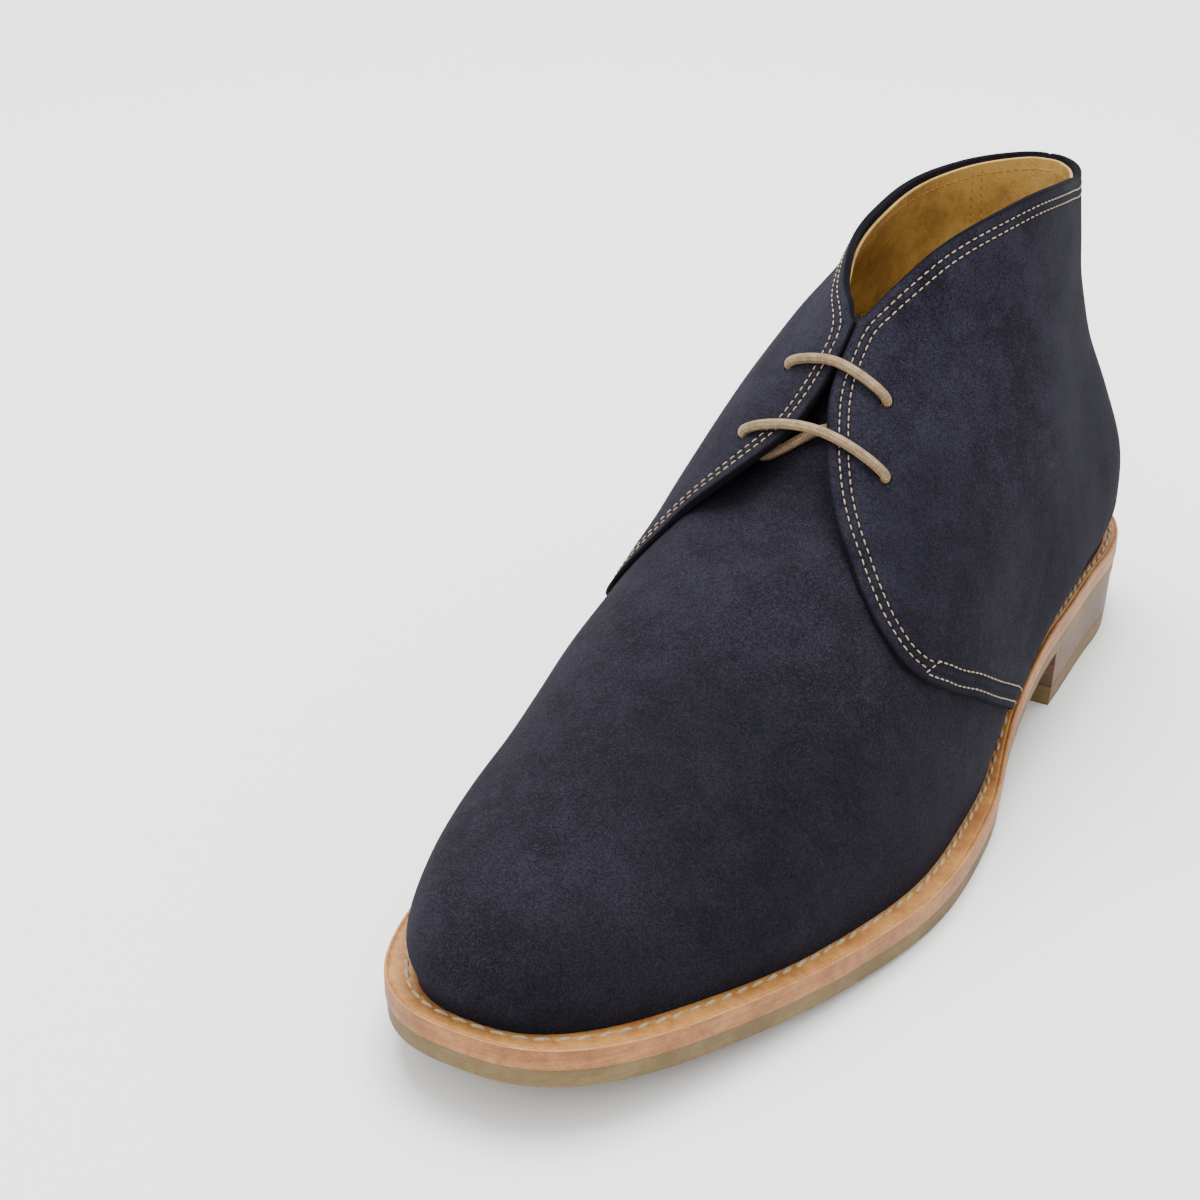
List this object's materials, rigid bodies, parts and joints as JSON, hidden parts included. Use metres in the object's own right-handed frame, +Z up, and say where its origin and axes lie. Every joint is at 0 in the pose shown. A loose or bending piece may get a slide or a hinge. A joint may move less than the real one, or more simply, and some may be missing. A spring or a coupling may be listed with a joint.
{
  "type": "chukka boot, left foot",
  "caption": "Ankle-high suede chukka boot for the left foot with open lacing, a stitched welt, a rubber outsole and a low block heel.",
  "frame": {"origin": "middle of the boot's footprint, on the surface it stands on", "axes": "+Z up, -Y toward the toe, +X toward the outer side of the left foot"},
  "size_m": [0.1092, 0.305, 0.1367],
  "materials": {
    "navy_suede": "brushed suede nap, matt",
    "lining_leather": "smooth vegetable-tanned lining, satin",
    "welt_leather": "smooth waxed leather, satin",
    "edge_leather": "trimmed and burnished leather edge",
    "outsole_rubber": "matt moulded rubber",
    "waxed_cord": "round woven lace, waxed",
    "stitch_thread": "twisted cream thread"
  },
  "bodies": {
    "root": {"outsole": "outsole_rubber", "midsole": "edge_leather", "welt": "welt_leather", "heel_stack": "edge_leather", "heel_lift": "outsole_rubber", "insole": "lining_leather", "upper": "navy_suede", "quarter_outer": "navy_suede", "quarter_inner": "navy_suede", "tongue": "navy_suede", "lace": "waxed_cord"}
  },
  "joints": []
}
